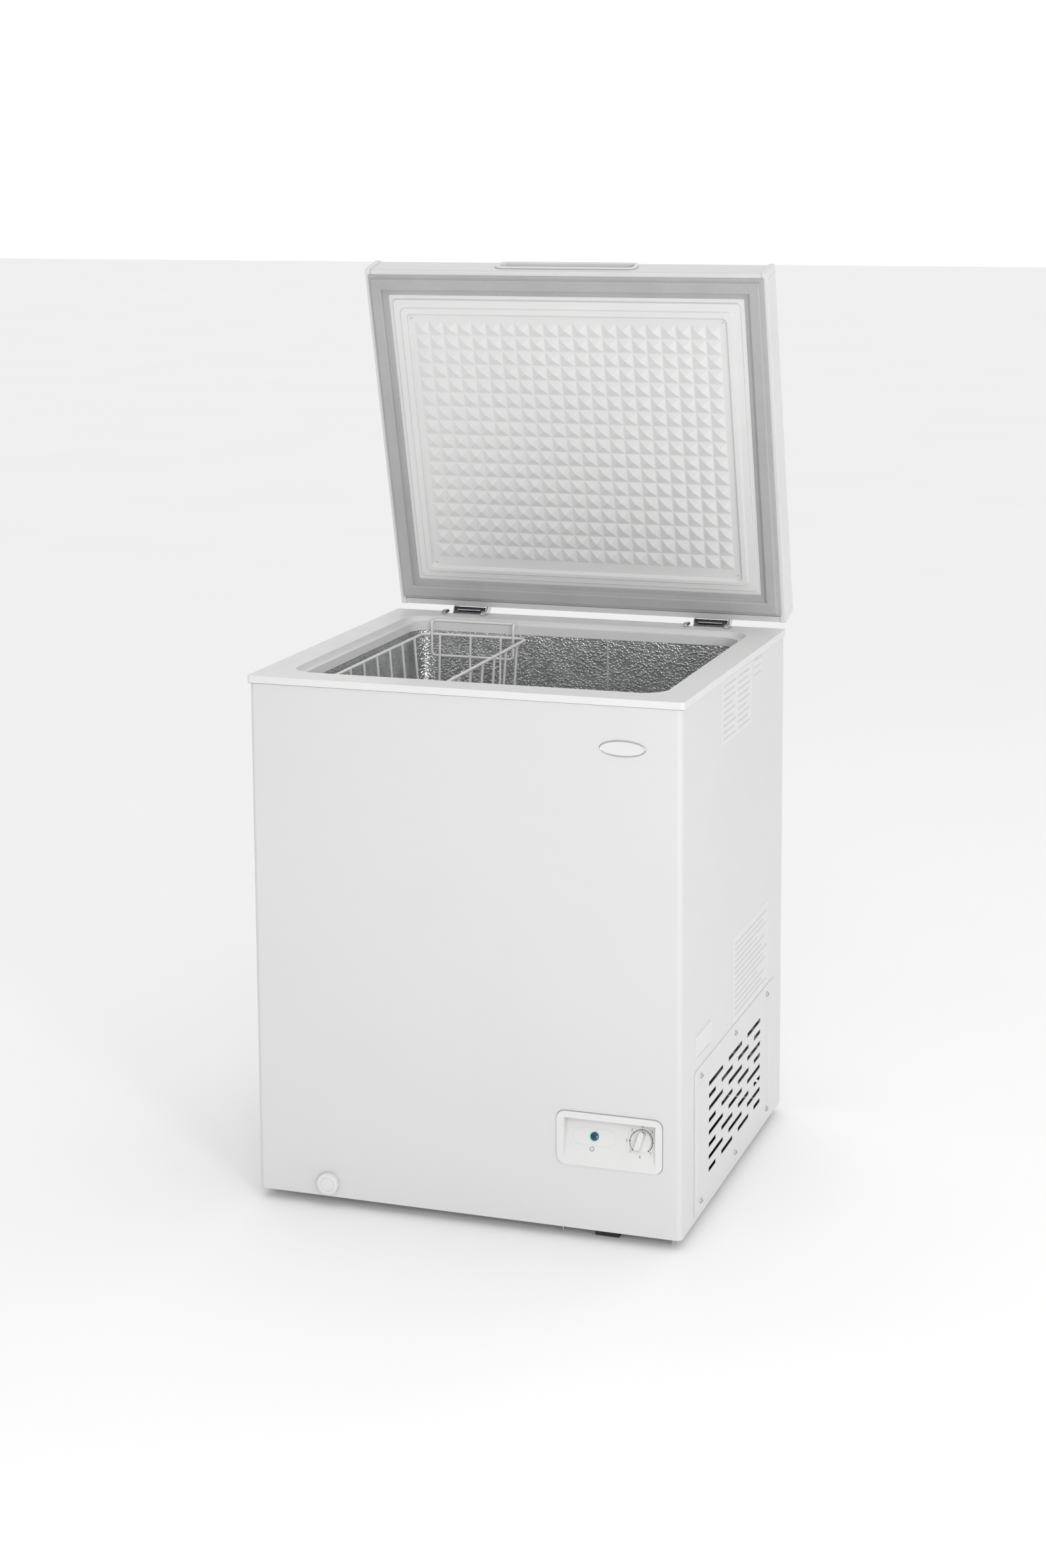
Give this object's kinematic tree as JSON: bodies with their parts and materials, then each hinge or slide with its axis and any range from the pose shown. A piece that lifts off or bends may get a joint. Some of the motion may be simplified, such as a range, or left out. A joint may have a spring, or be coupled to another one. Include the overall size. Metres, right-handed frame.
{
  "type": "chest freezer",
  "caption": "Free-standing white chest freezer with a hinged foam-filled lid, embossed metal tank, hanging wire basket, thermostat dial and drain.",
  "frame": {"origin": "on the floor, under the middle of the open freezer's bounding box; the cabinet's own middle is 27 mm nearer the front", "axes": "front towards -Y, lid hinge along X at the back, up +Z"},
  "size_m": [0.6367, 0.6438, 1.3251],
  "materials": {
    "steel": "satin",
    "zinc": "satin",
    "white_plastic": "satin",
    "embossed_aluminium": "satin",
    "coil_aluminium": "satin",
    "foam": "matte",
    "copper": "satin",
    "black_plastic": "matte",
    "black_rubber": "matte",
    "black_steel": "satin",
    "grey_rubber": "matte",
    "lamp_lens": "gloss",
    "coated_wire": "satin",
    "badge_metal": "satin"
  },
  "bodies": {
    "cabinet": {"outer_wrapper": "steel", "rear_panel": "steel", "side_vent_panel": "steel", "base_panel": "zinc", "compressor_tray": "zinc", "vent_screw_1": "zinc", "vent_screw_2": "zinc", "vent_screw_3": "zinc", "vent_screw_4": "zinc", "vent_screw_5": "zinc", "vent_screw_6": "zinc", "hinge_left_base": "zinc", "hinge_left_pin": "zinc", "hinge_left_spring": "zinc", "hinge_right_base": "zinc", "hinge_right_pin": "zinc", "hinge_right_spring": "zinc", "hinge_screw_1": "zinc", "hinge_screw_2": "zinc", "hinge_screw_3": "zinc", "hinge_screw_4": "zinc", "top_collar": "white_plastic", "control_bezel": "white_plastic", "drain_tube": "white_plastic", "inner_liner": "embossed_aluminium", "evaporator_coil": "coil_aluminium", "insulation_foam": "foam", "condenser_coil": "copper", "filter_drier": "copper", "discharge_pipe": "copper", "suction_pipe": "copper", "bay_wall": "black_plastic", "tray_foot_front": "black_plastic", "tray_foot_rear": "black_plastic", "foot_left_front": "black_plastic", "foot_left_rear": "black_plastic", "thermostat": "black_plastic", "compressor_grommet_1": "black_rubber", "compressor_grommet_2": "black_rubber", "compressor_grommet_3": "black_rubber", "compressor_grommet_4": "black_rubber", "cord_inlet_bush": "black_rubber", "compressor": "black_steel", "power_lamp": "lamp_lens", "front_badge": "badge_metal"},
    "lid": {"lid_skin": "steel", "lid_front_profile": "white_plastic", "lid_side_rail_left": "white_plastic", "lid_side_rail_right": "white_plastic", "lid_foam": "foam", "lid_handle": "white_plastic", "lid_gasket": "grey_rubber", "lid_liner": "white_plastic", "hinge_left_arm": "zinc", "hinge_right_arm": "zinc"},
    "knob": {"control_knob": "white_plastic", "thermostat_shaft": "zinc"},
    "drain_cap": {"drain_cap": "white_plastic"},
    "drain_plug": {"drain_plug": "white_plastic"},
    "basket": {"wire_basket": "coated_wire"}
  },
  "joints": [
    {"name": "lid_hinge", "type": "hinge", "parent": "cabinet", "child": "lid", "pos_m": [0, 0.2545, 0.754], "axis": [-1, 0, 0], "range_deg": [-75.7, 0]},
    {"name": "thermostat_knob_turn", "type": "hinge", "parent": "cabinet", "child": "knob", "pos_m": [0.2556, -0.30582, 0.14638], "axis": [0, 0.9397, -0.342], "range_deg": [-194, 121]},
    {"name": "basket_lift", "type": "slide", "parent": "cabinet", "child": "basket", "axis": [0, 0, 1], "range_m": [0, 0.17]},
    {"name": "drain_cap_pull", "type": "slide", "parent": "cabinet", "child": "drain_cap", "axis": [0, -1, 0], "range_m": [0, 0.03]},
    {"name": "drain_plug_lift", "type": "slide", "parent": "cabinet", "child": "drain_plug", "axis": [0, 0, 1], "range_m": [0, 0.08]}
  ]
}
